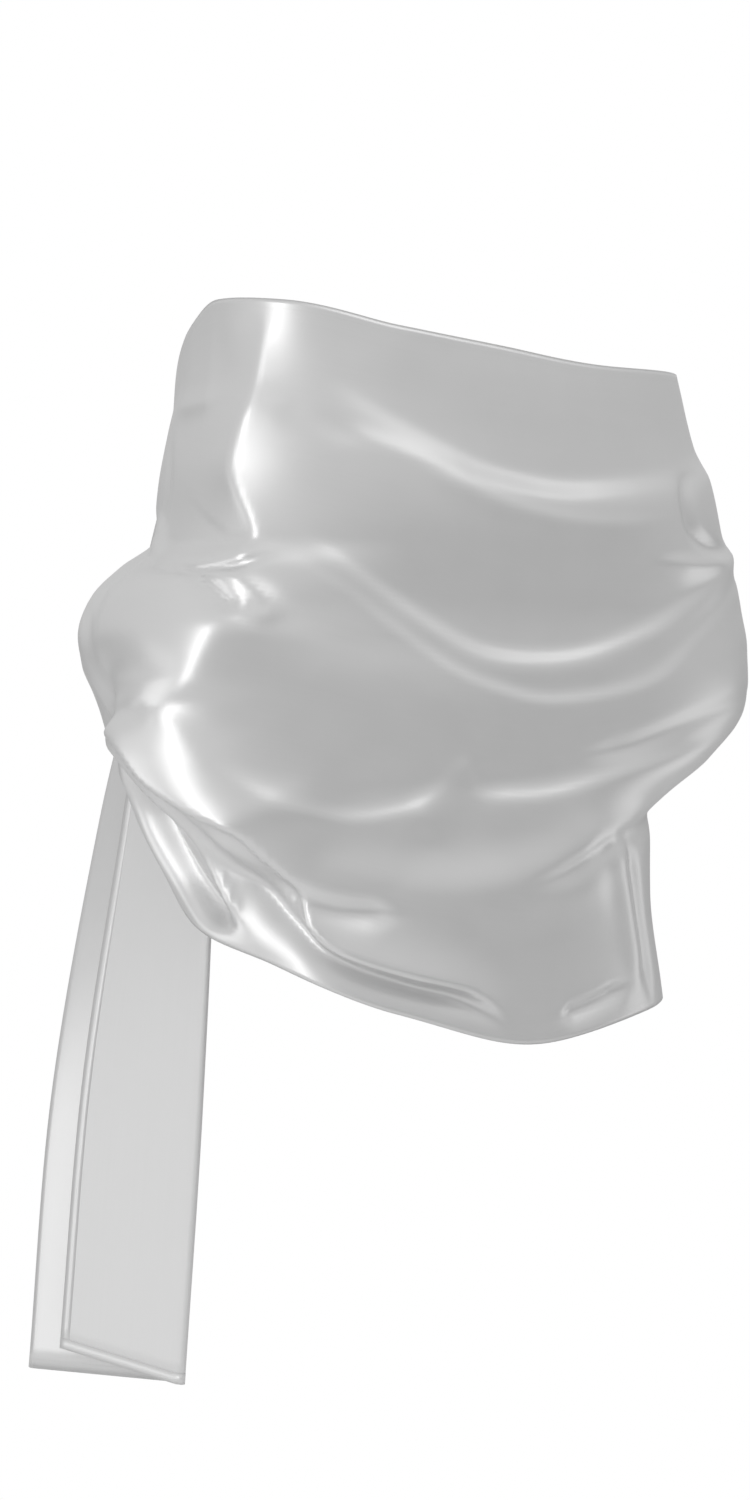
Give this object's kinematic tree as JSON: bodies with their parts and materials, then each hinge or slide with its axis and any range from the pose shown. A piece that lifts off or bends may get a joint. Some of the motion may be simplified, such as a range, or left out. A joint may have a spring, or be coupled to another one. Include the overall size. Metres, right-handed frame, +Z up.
{
  "type": "evening stole",
  "caption": "Satin evening stole worn off the shoulders: it crosses the back, wraps both arms and falls from one forearm.",
  "frame": {"origin": "on the wearer's body axis, level with the upper edge at the left of the back, where the arms hold the stole", "axes": "+Z up, +Y out of the wearer's back, +X to the wearer's left"},
  "size_m": [0.6378, 0.3896, 0.9141],
  "materials": {
    "satin": "silver-grey satin, glossy outside and dull on its reverse",
    "hem": "narrow turned hem of the same satin, machine stitched"
  },
  "bodies": {
    "root": {"right_front": "satin", "right_arm": "satin", "back": "satin", "left_arm": "satin", "left_forearm": "satin", "left_fall": "satin", "top_hem": "hem", "bottom_hem": "hem", "left_end_hem": "hem", "right_end_hem": "hem"}
  },
  "joints": []
}
